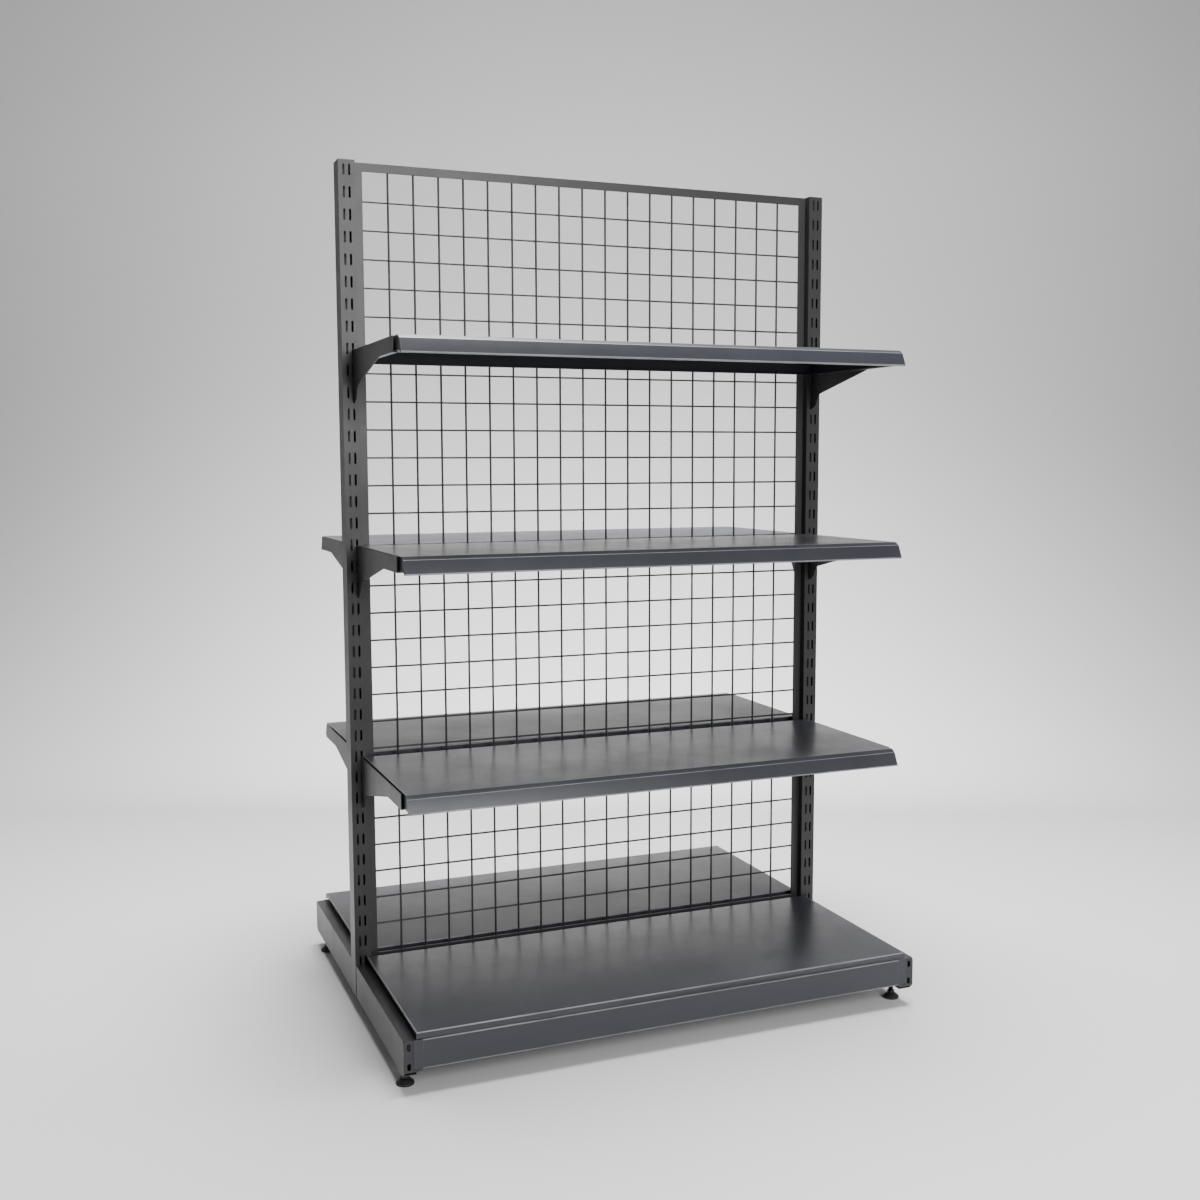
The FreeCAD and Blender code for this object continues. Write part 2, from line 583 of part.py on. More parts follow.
def main():
    os.makedirs("parts", exist_ok=True)
    save_pair("upright", upright())

    for name, (bottom, top) in panel_spans().items():
        save("back_panel_frame_" + name, panel_frame(bottom, top))
        save("upright_wires_" + name, upright_wires(bottom, top))
        save("cross_wires_" + name, cross_wires(TOP_CROSS_WIRE_Z[name], CROSS_WIRE_COUNT[name]))
    save("panel_clips", panel_clips())
    save("clip_screws", clip_screws())

    corners = ("front_right", "front_left", "rear_left", "rear_right")
    for name, maker in (("base_leg", base_leg), ("foot_pad", foot_pad), ("foot_stud", foot_stud)):
        for corner, piece in zip(corners, in_four_places(maker())):
            save(name + "_" + corner, piece)
    save("leg_weld_nuts", Part.makeCompound(in_four_places(leg_weld_nut())))
    save("leg_bolts", Part.makeCompound(in_four_places(leg_bolt())))
    save("leg_bolt_nuts", Part.makeCompound(in_four_places(leg_bolt_nut())))

    for side, place in (("front", lambda piece: piece), ("rear", to_rear)):
        save("deck_" + side, place(deck()))
        save("deck_stiffener_" + side, place(hat_section(DECK_Z, DECK_HAT_Y, DECK_STEP_X - HAT_END_GAP)))
        save("kick_plate_" + side, place(kick_plate()))
        for name, level in LEVELS.items():
            if side not in SIDES[name]:
                continue
            where = "_" + name + "_" + side
            save("shelf" + where, place(shelf(level)))
            save("shelf_stiffener" + where, place(hat_section(level, SHELF_HAT_Y, SHELF_END_X - HAT_END_GAP)))
            right, left = both_ends(bracket(level))
            if side == "rear":
                right, left = to_rear(left), to_rear(right)
            save("bracket" + where + "_right", right)
            save("bracket" + where + "_left", left)


main()
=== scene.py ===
import math

import bmesh
import bpy
from mathutils import Matrix, Vector


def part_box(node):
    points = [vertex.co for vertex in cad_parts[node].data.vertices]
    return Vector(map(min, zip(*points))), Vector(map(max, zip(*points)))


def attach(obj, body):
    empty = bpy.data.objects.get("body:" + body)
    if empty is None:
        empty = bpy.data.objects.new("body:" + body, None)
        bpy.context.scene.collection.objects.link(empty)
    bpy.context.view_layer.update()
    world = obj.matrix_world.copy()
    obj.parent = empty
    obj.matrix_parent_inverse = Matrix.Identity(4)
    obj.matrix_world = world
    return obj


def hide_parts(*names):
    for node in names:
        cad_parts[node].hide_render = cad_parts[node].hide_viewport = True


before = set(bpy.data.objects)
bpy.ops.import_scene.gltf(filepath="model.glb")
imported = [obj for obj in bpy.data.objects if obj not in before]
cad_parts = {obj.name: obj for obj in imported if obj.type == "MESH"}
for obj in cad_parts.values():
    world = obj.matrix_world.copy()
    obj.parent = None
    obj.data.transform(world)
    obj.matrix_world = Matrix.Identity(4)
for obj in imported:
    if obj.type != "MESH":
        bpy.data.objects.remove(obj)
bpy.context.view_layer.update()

# Double-sided gondola shelving bay. Metres; +Z up; -Y is the side with three shelves.

CORNERS = ("front_left", "front_right", "rear_left", "rear_right")
PANELS = ("top", "mid", "low")
SHELVES = ("top_front", "mid_front", "mid_rear", "low_front", "low_rear")
SIDES = ("front", "rear")
MM = 0.001

SHEET = 1.2 * MM  # thickness of shelves, decks and kick plates
BEND = 2.4 * MM  # outer radius of their folds
FOLD_WIDTH = BEND + 0.6 * MM  # end strip of a sheet that its side fold takes up
FOLD_STEP = (math.radians(4), math.radians(30))  # angle between two facets of a rounded fold
FOLD_FACET = 2 * MM  # a fold's facets are narrower than this

SHELF_FLANGE = 33 * MM
SHELF_HEM = 8 * MM
LIP_REACH = 27 * MM  # the front lip leans this far out of the flat surface
LIP_FACE_REACH = 15 * MM
LIP_BREAK = 7 * MM  # height of the slope above the lip's face
LIP_RETURN = 12 * MM
LIP_CURL = 6 * MM
LIP_CLEARANCE = 2 * MM  # dark crease between the side flange and the lip

DECK_REAR_FLANGE = 16 * MM
DECK_FRONT_FLANGE = 14 * MM
DECK_STEP = 9 * MM  # the standing side flange is set in from the edge
DECK_STEP_DROP = 6 * MM
DECK_FOOT_DROP = 18 * MM
DECK_FOOT_SETBACK = 31 * MM
DECK_EDGE_CAP = 6 * MM

KICK_FOLD = 3.2 * MM
KICK_RETURN = 15.2 * MM
KICK_HEM = 5 * MM
KICK_RETURN_END_X = 588 * MM
KICK_TAB_X = 605.5 * MM
KICK_TAB_Z = (64 * MM, 106 * MM)
KICK_TAB_HEIGHT = 15 * MM
KICK_TAB_REACH = 11.8 * MM
KICK_CORNER_RISE = 4 * MM

STUD_R = 6 * MM
STUD_PITCH = 1.75 * MM
STUD_THREAD_DEPTH = 1.07 * MM
STUD_FLATS = 17 * MM
STUD_HEX_Z = (13 * MM, 19 * MM)
STUD_LEAD = 0.6 * MM  # rounded lower end

BOLT_FLATS = 13 * MM
BOLT_HEAD = 5.3 * MM
BOLT_R = 4 * MM
BOLT_PITCH = 1.25 * MM
BOLT_LENGTH = 13.3 * MM
CLIP_THICKNESS = 2 * MM
CLIP_END_OFFSET = 60 * MM  # screw to the panel's top or bottom edge
SCREW_R = 2 * MM
SCREW_PITCH = 0.7 * MM
SCREW_LENGTH = 6.9 * MM
THREAD_FORM = ((0.0, 0.0), (0.12, 0.0), (0.5, 1.0), (0.62, 1.0), (1.0, 0.0))  # depth along one pitch

BACKDROP_TURN = -22.6  # degrees, square to the camera
CAMERA_PLACE = (-1.2640, -3.1470, 1.3188)
CAMERA_YAW = 22.097  # degrees to the right of +Y
CAMERA_PITCH = -5.849
CAMERA_ROLL = -0.175
CAMERA_LENS = 40.553


# ---- shader graphs -----------------------------------------------------------------------
class Graph:
    """Adds nodes to a node tree and links them."""

    def __init__(self, tree):
        self.tree = tree

    def add(self, kind, **settings):
        node = self.tree.nodes.new("ShaderNode" + kind)
        for key, value in settings.items():
            setattr(node, key, value)
        return node

    def feed(self, socket, value):
        if hasattr(value, "is_output"):
            self.tree.links.new(value, socket)
        else:
            socket.default_value = value

    def math(self, operation, a, b=0.0, clamp=False):
        node = self.add("Math", operation=operation, use_clamp=clamp)
        self.feed(node.inputs[0], a)
        self.feed(node.inputs[1], b)
        return node.outputs[0]

    def noise(self, coordinate, scale, detail=2.0, roughness=0.5):
        node = self.add("TexNoise")
        self.feed(node.inputs["Vector"], coordinate)
        self.feed(node.inputs["Scale"], scale)
        node.inputs["Detail"].default_value = detail
        node.inputs["Roughness"].default_value = roughness
        return node.outputs["Fac"]

    def span(self, value, low, high, out_low=0.0, out_high=1.0):
        """Maps low..high to out_low..out_high, clamped."""
        node = self.add("MapRange")
        self.feed(node.inputs["Value"], value)
        for name, number in (("From Min", low), ("From Max", high), ("To Min", out_low), ("To Max", out_high)):
            self.feed(node.inputs[name], number)
        return node.outputs["Result"]

    def mix(self, factor, a, b):
        node = self.add("Mix", data_type="RGBA")
        self.feed(node.inputs[0], factor)
        self.feed(node.inputs[6], a)
        self.feed(node.inputs[7], b)
        return node.outputs[2]

    def place(self):
        return self.add("TexCoord").outputs["Object"]

    def group(self, tree, **values):
        node = self.add("Group", node_tree=tree)
        for key, value in values.items():
            self.feed(node.inputs[key.replace("_", " ")], value)
        return node.outputs


def shader_group(name, inputs, outputs, build):
    """A node group whose sockets are given as (name, type, default) and (name, type)."""
    tree = bpy.data.node_groups.new(name, "ShaderNodeTree")
    for socket, kind, default in inputs:
        made = tree.interface.new_socket(socket, in_out="INPUT", socket_type="NodeSocket" + kind)
        made.default_value = default
    for socket, kind in outputs:
        tree.interface.new_socket(socket, in_out="OUTPUT", socket_type="NodeSocket" + kind)
    enter = tree.nodes.new("NodeGroupInput")
    leave = tree.nodes.new("NodeGroupOutput")
    results = build(Graph(tree), enter.outputs)
    for (socket, _), value in zip(outputs, results):
        tree.links.new(value, leave.inputs[socket])
    return tree


def build_orange_peel(g, given):
    """Fine ripple of a sprayed and baked coat."""
    place = g.place()
    broad = g.noise(place, given["Scale"], 2.0)
    fine = g.noise(place, g.math("MULTIPLY", given["Scale"], 3.1), 1.0)
    return [g.math("ADD", g.math("MULTIPLY", broad, 0.75), g.math("MULTIPLY", fine, 0.25))]


def build_edge_rub(g, given):
    """Mask of corners that goods and hands have rubbed."""
    rounded = g.add("Bevel", samples=4)
    g.feed(rounded.inputs["Radius"], given["Width"])
    flat = g.add("NewGeometry")
    dot = g.add("VectorMath", operation="DOT_PRODUCT")
    g.feed(dot.inputs[0], rounded.outputs["Normal"])
    g.feed(dot.inputs[1], flat.outputs["Normal"])
    turn = g.math("SUBTRACT", 1.0, dot.outputs["Value"], clamp=True)
    patch = g.span(g.noise(g.place(), 34.0, 4.0), 0.38, 0.62)
    mask = g.math("MULTIPLY", g.span(turn, 0.02, 0.25), g.math("ADD", g.math("MULTIPLY", patch, 0.75), 0.25))
    return [g.math("MULTIPLY", mask, given["Amount"], clamp=True)]


def build_painted_fold_highlight(g, given):
    """Mask of folds for a painted highlight: the coat is lightened along each bend as if it caught the light.
    """
    fold = g.add("Attribute", attribute_name="fold").outputs["Fac"]
    patch = g.span(g.noise(g.place(), 9.0, 4.0), 0.3, 0.7, 0.45, 1.0)
    return [g.math("MULTIPLY", g.math("MULTIPLY", fold, patch), given["Amount"], clamp=True)]


def build_settled_dust(g, given):
    """Mask of a light film of dust on faces that look up."""
    normal = g.add("NewGeometry").outputs["Normal"]
    parts = g.add("SeparateXYZ")
    g.feed(parts.inputs[0], normal)
    up = g.span(parts.outputs["Z"], 0.6, 0.98)
    cloud = g.span(g.noise(g.place(), 5.0, 5.0, 0.6), 0.35, 0.75)
    speck = g.span(g.noise(g.place(), 420.0, 1.0), 0.66, 0.74)
    mask = g.math("ADD", g.math("MULTIPLY", cloud, 0.7), g.math("MULTIPLY", speck, 0.5))
    return [g.math("MULTIPLY", g.math("MULTIPLY", up, mask), given["Amount"], clamp=True)]


def build_tone_drift(g, given):
    """Slow change of a colour over a piece."""
    drift = g.noise(g.place(), given["Scale"], 3.0)
    shift = g.span(drift, 0.3, 0.7, -1.0, 1.0)
    gain = g.math("ADD", g.math("MULTIPLY", shift, given["Amount"]), 1.0)
    node = g.add("HueSaturation")
    g.feed(node.inputs["Color"], given["Colour"])
    g.feed(node.inputs["Value"], gain)
    return [node.outputs["Color"]]


def build_handling(g, given):
    """Roughness with faint wiped patches and fine scuffs."""
    place = g.place()
    wiped = g.span(g.noise(place, 7.0, 4.0, 0.65), 0.35, 0.7, -1.0, 1.0)
    stretch = g.add("Mapping")
    stretch.inputs["Scale"].default_value = (3.0, 60.0, 60.0)
    g.feed(stretch.inputs["Vector"], place)
    scuff = g.span(g.noise(stretch.outputs[0], 6.0, 3.0), 0.55, 0.72)
    change = g.math("ADD", g.math("MULTIPLY", wiped, given["Spread"]), g.math("MULTIPLY", scuff, 0.04))
    return [g.math("ADD", given["Roughness"], change, clamp=True)]


orange_peel = shader_group("orange_peel", [("Scale", "Float", 400.0)], [("Height", "Float")], build_orange_peel)
edge_rub = shader_group(
    "edge_rub", [("Width", "Float", 0.001), ("Amount", "Float", 0.3)], [("Mask", "Float")], build_edge_rub
)
# Painted highlight along the rounded folds of sheet pieces.
painted_fold_highlight = shader_group(
    "painted_fold_highlight", [("Amount", "Float", 0.3)], [("Mask", "Float")], build_painted_fold_highlight
)
settled_dust = shader_group("settled_dust", [("Amount", "Float", 0.1)], [("Mask", "Float")], build_settled_dust)
tone_drift = shader_group(
    "tone_drift",
    [("Colour", "Color", (0.5, 0.5, 0.5, 1)), ("Amount", "Float", 0.1), ("Scale", "Float", 3.0)],
    [("Colour", "Color")],
    build_tone_drift,
)
handling = shader_group(
    "handling",
    [("Roughness", "Float", 0.4), ("Spread", "Float", 0.05)],
    [("Roughness", "Float")],
    build_handling,
)


def new_material(name):
    material = bpy.data.materials.new(name)
    material.use_nodes = True
    shader = next(n for n in material.node_tree.nodes if n.type == "BSDF_PRINCIPLED")
    return material, Graph(material.node_tree), shader


def powder_coat(name, colour, rub_and_fold_highlight, roughness, peel_scale, dust, fold_highlight_amount=0.0):
    """Satin powder coat over steel: orange peel, rubbed edges, dust, slight tone and gloss changes, and a
    painted highlight along folds.
    """
    material, g, shader = new_material(name)
    tone = g.group(tone_drift, Colour=(*colour, 1), Amount=0.07, Scale=2.2)["Colour"]
    worn = g.group(edge_rub, Width=0.0012, Amount=0.35)["Mask"]
    bent = g.group(painted_fold_highlight, Amount=fold_highlight_amount)["Mask"]
    # Rubbed corners take the lighter colour as wear; fold faces take it as a painted highlight.
    tone = g.mix(g.math("MAXIMUM", worn, bent), tone, (*rub_and_fold_highlight, 1))
    dusty = g.group(settled_dust, Amount=dust)["Mask"]
    tone = g.mix(dusty, tone, (0.42, 0.41, 0.39, 1))
    g.feed(shader.inputs["Base Color"], tone)
    rough = g.group(handling, Roughness=roughness, Spread=0.04)["Roughness"]
    rough = g.math("ADD", rough, g.math("MULTIPLY", dusty, 0.35), clamp=True)
    g.feed(shader.inputs["Roughness"], rough)
    bump = g.add("Bump")
    bump.inputs["Strength"].default_value = 0.22
    bump.inputs["Distance"].default_value = 0.0003
    g.feed(bump.inputs["Height"], g.group(orange_peel, Scale=peel_scale)["Height"])
    g.feed(shader.inputs["Normal"], bump.outputs["Normal"])
    shader.inputs["Specular IOR Level"].default_value = 0.4
    shader.inputs["Coat Weight"].default_value = 0.08
    shader.inputs["Coat Roughness"].default_value = 0.22
    return material


def zinc_plate(name, colour):
    """Zinc plating with faint crystals, duller in patches."""
    material, g, shader = new_material(name)
    crystals = g.add("TexVoronoi")
    crystals.inputs["Scale"].default_value = 600.0
    g.feed(crystals.inputs["Vector"], g.place())
    spark = g.span(crystals.outputs["Distance"], 0.0, 0.8, 0.9, 1.1)
    tone = g.group(tone_drift, Colour=(*colour, 1), Amount=0.12, Scale=40.0)["Colour"]
    shade = g.add("HueSaturation")
    g.feed(shade.inputs["Color"], tone)
    g.feed(shade.inputs["Value"], spark)
    g.feed(shader.inputs["Base Color"], shade.outputs["Color"])
    shader.inputs["Metallic"].default_value = 1.0
    g.feed(shader.inputs["Roughness"], g.group(handling, Roughness=0.36, Spread=0.1)["Roughness"])
    bump = g.add("Bump")
    bump.inputs["Strength"].default_value = 0.15
    bump.inputs["Distance"].default_value = 0.0002
    g.feed(bump.inputs["Height"], g.group(orange_peel, Scale=900.0)["Height"])
    g.feed(shader.inputs["Normal"], bump.outputs["Normal"])
    return material


def black_moulded():
    """Black moulded plastic with a fine spark-eroded grain."""
    material, g, shader = new_material("black_moulded_plastic")
    tone = g.group(tone_drift, Colour=(0.012, 0.012, 0.013, 1), Amount=0.15, Scale=20.0)["Colour"]
    dusty = g.group(settled_dust, Amount=0.1)["Mask"]
    worn = g.group(edge_rub, Width=0.0008, Amount=0.3)["Mask"]
    tone = g.mix(worn, tone, (0.05, 0.05, 0.05, 1))
    g.feed(shader.inputs["Base Color"], g.mix(dusty, tone, (0.3, 0.29, 0.27, 1)))
    g.feed(shader.inputs["Roughness"], g.group(handling, Roughness=0.5, Spread=0.06)["Roughness"])
    bump = g.add("Bump")
    bump.inputs["Strength"].default_value = 0.35
    bump.inputs["Distance"].default_value = 0.0002
    g.feed(bump.inputs["Height"], g.group(orange_peel, Scale=1400.0)["Height"])
    g.feed(shader.inputs["Normal"], bump.outputs["Normal"])
    return material


upright_coat = powder_coat("upright_powder_coat", (0.020, 0.0195, 0.021), (0.10, 0.10, 0.11), 0.42, 420.0, 0.02)
# Shelf coat: a painted highlight in its light grey colour runs along every fold of shelves, decks and kick
# plates.
shelf_coat = powder_coat(
    "shelf_powder_coat", (0.027, 0.028, 0.036), (0.30, 0.30, 0.32), 0.34, 380.0, 0.03, fold_highlight_amount=0.7
)
wire_coat = powder_coat("wire_powder_coat", (0.026, 0.026, 0.027), (0.09, 0.09, 0.10), 0.42, 500.0, 0.02)
zinc = zinc_plate("zinc_plate", (0.6, 0.6, 0.57))
black_zinc = zinc_plate("black_zinc_plate", (0.05, 0.05, 0.05))
black_plastic = black_moulded()


# ---- meshes ------------------------------------------------------------------------------
def rounded_line(points, radius, steps=6):
    """The (y, z) line with an arc of that radius at each inner corner."""
    line = [Vector(points[0])]
    for before, corner, after in zip(points, points[1:], points[2:]):
        corner = Vector(corner)
        back = Vector(before) - corner
        ahead = Vector(after) - corner
        turn = math.pi - back.angle(ahead)
        reach = radius * math.tan(turn / 2)
        reach = min(reach, back.length * 0.45, ahead.length * 0.45)
        start = corner + back.normalized() * reach
        end = corner + ahead.normalized() * reach
        for i in range(steps + 1):
            t = i / steps
            first = start.lerp(corner, t)
            second = corner.lerp(end, t)
            line.append(first.lerp(second, t))
    line.append(Vector(points[-1]))
    return line


def thickened(line, thickness):
    """Closed outline of a sheet that lies to the left of the line."""
    sides = []
    for i, point in enumerate(line):
        before = line[max(i - 1, 0)]
        after = line[min(i + 1, len(line) - 1)]
        way = (after - before).normalized()
        sides.append(point + Vector((-way.y, way.x)) * thickness)
    return list(line) + sides[::-1]


def sheet_skin(count):
    """Faces of a sheet between two outlines of count points each: its sides, then its two ends."""
    faces = []
    for i in range(count):
        j = (i + 1) % count
        faces.append((i, j, count + j, count + i))
    for start in (0, count):
        for i in range(count // 2 - 1):
            faces.append((start + i, start + i + 1, start + count - 2 - i, start + count - 1 - i))
    return faces


def sheet_sweep(line, thickness, x0, x1):
    """Closed sheet along the (y, z) line between x0 and x1, thickness to the left of the line."""
    loop = thickened(line, thickness)
    vertices = []
    for x in (x0, x1):
        for y, z in loop:
            vertices.append((x, y, z))
    return vertices, sheet_skin(len(loop))


def end_sheet(x_edge, line, thickness, y0, y1):
    """Closed sheet along the (x, z) line between y0 and y1, with x counted from x_edge."""
    loop = thickened(line, thickness)
    vertices = []
    for y in (y0, y1):
        for x, z in loop:
            vertices.append((x_edge + x, y, z))
    return vertices, sheet_skin(len(loop))


def plate_faces(count):
    faces = [tuple(range(count))[::-1], tuple(range(count, 2 * count))]
    for i in range(count):
        j = (i + 1) % count
        faces.append((i, j, count + j, count + i))
    return faces


def plate_yz(outline, x0, x1):
    count = len(outline)
    vertices = [(x0, y, z) for y, z in outline] + [(x1, y, z) for y, z in outline]
    return vertices, plate_faces(count)


def plate_xz(outline, y0, y1):
    count = len(outline)
    vertices = [(x, y0, z) for x, z in outline] + [(x, y1, z) for x, z in outline]
    return vertices, plate_faces(count)


def mirrored(parts):
    vertices, faces = parts
    return [(-x, y, z) for x, y, z in vertices], [tuple(face)[::-1] for face in faces]


def facing_rear(parts):
    vertices, faces = parts
    return [(-x, -y, z) for x, y, z in vertices], faces


def joined_lists(*parts):
    vertices = []
    faces = []
    for some_vertices, some_faces in parts:
        start = len(vertices)
        vertices += some_vertices
        faces += [tuple(start + i for i in face) for face in some_faces]
    return vertices, faces


def turned(profile, centre, steps=64, scallop=None):
    """Vertices and faces of a turned shape: profile is (radius, height) pairs from axis to axis."""
    vertices = []
    faces = []
    rings = []
    for radius, height in profile:
        ring = []
        count = 1 if radius == 0 else steps
        for i in range(count):
            angle = 2 * math.pi * i / steps
            r = radius - (scallop(angle, radius, height) if scallop else 0)
            x = centre[0] + r * math.cos(angle)
            y = centre[1] + r * math.sin(angle)
            ring.append(len(vertices))
            vertices.append((x, y, centre[2] + height))
        rings.append(ring)
    for a, b in zip(rings, rings[1:]):
        for i in range(steps):
            j = (i + 1) % steps
            face = [a[i % len(a)], a[j % len(a)], b[j % len(b)], b[i % len(b)]]
            face = list(dict.fromkeys(face))
            if len(face) > 2:
                faces.append(face)
    return vertices, faces


def hex_radius(angle, flats):
    """Distance from the axis to a hexagon's side at that angle."""
    turn = (angle % (math.pi / 3)) - math.pi / 6
    return flats / 2 / math.cos(turn)


def hex_ring(flats, low, high, centre, chamfer=0.7 * MM, steps=72):
    """Hexagonal collar with its corners turned off top and bottom."""
    vertices = []
    faces = []
    levels = ((low, 0), (low, 1), (low + chamfer, 2), (high - chamfer, 2), (high, 1), (high, 0))
    for height, kind in levels:
        for i in range(steps):
            angle = 2 * math.pi * i / steps
            side = hex_radius(angle, flats)
            if kind == 0:
                r = 0.0
            elif kind == 1:
                r = min(side, flats / 2 * 0.98)
            else:
                r = side
            vertices.append((centre[0] + r * math.cos(angle), centre[1] + r * math.sin(angle), height))
    for row in range(len(levels) - 1):
        for i in range(steps):
            j = (i + 1) % steps
            faces.append((row * steps + i, row * steps + j, (row + 1) * steps + j, (row + 1) * steps + i))
    return vertices, faces


def threaded(radius, depth, pitch, low, high, centre, steps=36):
    """Side surface of a screw thread along +Z between low and high, with closed ends."""
    vertices = []
    faces = []
    rows = int((high - low) / pitch * 8)
    for row in range(rows + 1):
        height = low + (high - low) * row / rows
        fade = max(0.0, min(1.0, (height - low) / pitch, (high - height) / pitch))
        for i in range(steps):
            angle = 2 * math.pi * i / steps
            phase = ((height - low) / pitch - i / steps) % 1.0
            cut = 0.0
            for (p0, c0), (p1, c1) in zip(THREAD_FORM, THREAD_FORM[1:]):
                if p0 <= phase <= p1:
                    cut = c0 + (c1 - c0) * (phase - p0) / (p1 - p0)
            r = radius - depth * cut * fade - (1 - fade) * depth * 0.6
            vertices.append((centre[0] + r * math.cos(angle), centre[1] + r * math.sin(angle), height))
    for row in range(rows):
        for i in range(steps):
            j = (i + 1) % steps
            a = row * steps
            b = a + steps
            faces.append((a + i, a + j, b + j, b + i))
    faces.append(tuple(range(steps))[::-1])
    faces.append(tuple(rows * steps + i for i in range(steps)))
    return vertices, faces


def along(direction, base, parts):
    """Moves parts built about +Z so that they stand on base and point along direction."""
    turn = Vector((0, 0, 1)).rotation_difference(Vector(direction)).to_matrix()
    vertices, faces = parts
    return [tuple(Vector(base) + turn @ Vector(v)) for v in vertices], faces


def mark_folds(bm):
    """Face value "fold": 1 on the narrow faces of a rounded fold, 0 on flat sheet."""
    fold = bm.faces.layers.float.new("fold")
    for face in bm.faces:
        bent = 0
        for edge in face.edges:
            if len(edge.link_faces) == 2 and FOLD_STEP[0] < edge.calc_face_angle() < FOLD_STEP[1]:
                bent += 1
        narrow = min(edge.calc_length() for edge in face.edges) < FOLD_FACET
        face[fold] = 1.0 if bent >= 1 and narrow else 0.0


def mesh_piece(name, vertices, faces, material, smooth_angle=35.0):
    """A shown piece from vertices and faces, normals turned outwards, smooth below smooth_angle."""
    mesh = bpy.data.meshes.new(name)
    mesh.from_pydata(vertices, [], faces)
    bm = bmesh.new()
    bm.from_mesh(mesh)
    bmesh.ops.remove_doubles(bm, verts=bm.verts, dist=1e-6)
    bmesh.ops.recalc_face_normals(bm, faces=bm.faces)
    for face in bm.faces:
        face.smooth = True
    for edge in bm.edges:
        if len(edge.link_faces) == 2:
            edge.smooth = edge.calc_face_angle() < math.radians(smooth_angle)
    mark_folds(bm)
    bm.to_mesh(mesh)
    bm.free()
    piece = bpy.data.objects.new(name, mesh)
    bpy.context.scene.collection.objects.link(piece)
    mesh.materials.append(material)
    return piece


def middle(node):
    low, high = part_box(node)
    return (Vector(low) + Vector(high)) / 2


# ---- pieces carried over from the frame --------------------------------------------------
def finish_node(name, material, edge):
    """Gives a carried-over piece its material and softly rounded edges."""
    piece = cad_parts[name]
    piece.data.materials.clear()
    piece.data.materials.append(material)
    if edge:
        weld = piece.modifiers.new("weld", "WELD")
        weld.merge_threshold = 0.00002
        flatten = piece.modifiers.new("flatten", "DECIMATE")
        flatten.decimate_type = "DISSOLVE"
        flatten.angle_limit = math.radians(0.5)
        rounded = piece.modifiers.new("rounded", "BEVEL")
        rounded.width = edge
        rounded.segments = 3
        rounded.limit_method = "ANGLE"
        rounded.angle_limit = math.radians(28)
        smooth = piece.modifiers.new("shading", "WEIGHTED_NORMAL")
        smooth.keep_sharp = True
    return piece


for side in ("left", "right"):
    finish_node("upright_" + side, upright_coat, 0.8 * MM)
    for level in SHELVES:
        finish_node("bracket_%s_%s" % (level, side), upright_coat, 0.35 * MM)
for panel in PANELS:
    finish_node("back_panel_frame_" + panel, wire_coat, 0.6 * MM)
    finish_node("upright_wires_" + panel, wire_coat, 0)
    finish_node("cross_wires_" + panel, wire_coat, 0)
for level in SHELVES:
    finish_node("shelf_stiffener_" + level, shelf_coat, 0.4 * MM)
for side in SIDES:
    finish_node("deck_stiffener_" + side, shelf_coat, 0.4 * MM)
for corner in CORNERS:
    finish_node("base_leg_" + corner, upright_coat, 0.6 * MM)
finish_node("panel_clips", upright_coat, 0.3 * MM)
finish_node("leg_weld_nuts", zinc, 0.4 * MM)
finish_node("leg_bolt_nuts", zinc, 0.4 * MM)


# ---- folded sheet pieces -----------------------------------------------------------------
def place_sheet(name, node, parts, rear, material):
    if rear:
        parts = facing_rear(parts)
    piece = mesh_piece(name, *parts, material, 50)
    rim = piece.modifiers.new("soft_rim", "BEVEL")
    rim.width = 0.25 * MM
    rim.segments = 2
    rim.limit_method = "ANGLE"
    rim.angle_limit = math.radians(60)
    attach(piece, node)
    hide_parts(node)
    return piece


def front_corner(node):
    """Box of a node, turned to the front side: (half length, back y, front y, low z, high z, is it rear)."""
    low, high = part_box(node)
    rear = high[1] > -low[1]
    if rear:
        return high[0], -low[1], -high[1], low[2], high[2], True
    return high[0], high[1], low[1], low[2], high[2], False


def shelf_pan(level):
    """Shelf with rounded folds: surface, rear flange, side flanges and a leaning front lip."""
    node = "shelf_" + level
    half, back, front, low, top, rear = front_corner(node)
    edge_y = front + LIP_REACH
    break_y = front + LIP_FACE_REACH
    flange_z = top - SHELF_FLANGE
    end_y = edge_y + 3 * MM  # the lip profile covers the side fold in front of this
    points = [
        (back - SHELF_HEM, flange_z),
        (back, flange_z),
        (back, top),
        (edge_y, top),
        (break_y, top - LIP_BREAK),
        (front, low),
        (front + LIP_RETURN, low),
        (front + LIP_RETURN, low + LIP_CURL),
    ]
    body = sheet_sweep(rounded_line(points, BEND), SHEET, -half + FOLD_WIDTH, half - FOLD_WIDTH)
    lip_line = rounded_line([(end_y, top)] + points[3:], BEND)
    lip_end = sheet_sweep(lip_line, SHEET, half - FOLD_WIDTH, half)
    side_points = [(-FOLD_WIDTH, top), (0, top), (0, flange_z), (-SHELF_HEM, flange_z)]
    side_line = rounded_line(side_points, BEND)
    flange = end_sheet(half, side_line, -SHEET, back, end_y)
    cheek_outline = [
        (end_y, top - SHEET),
        (end_y, flange_z),
        (front + LIP_CLEARANCE + 2.4 * MM, flange_z),
        (break_y + LIP_CLEARANCE, top - LIP_BREAK - 0.8 * MM),
        (edge_y + 1 * MM, top - SHEET),
    ]
    cheek = plate_yz(cheek_outline, half - SHEET, half)
    end = joined_lists(lip_end, flange, cheek)
    parts = joined_lists(body, end, mirrored(end))
    place_sheet("shelf_pan_" + level, node, parts, rear, shelf_coat)


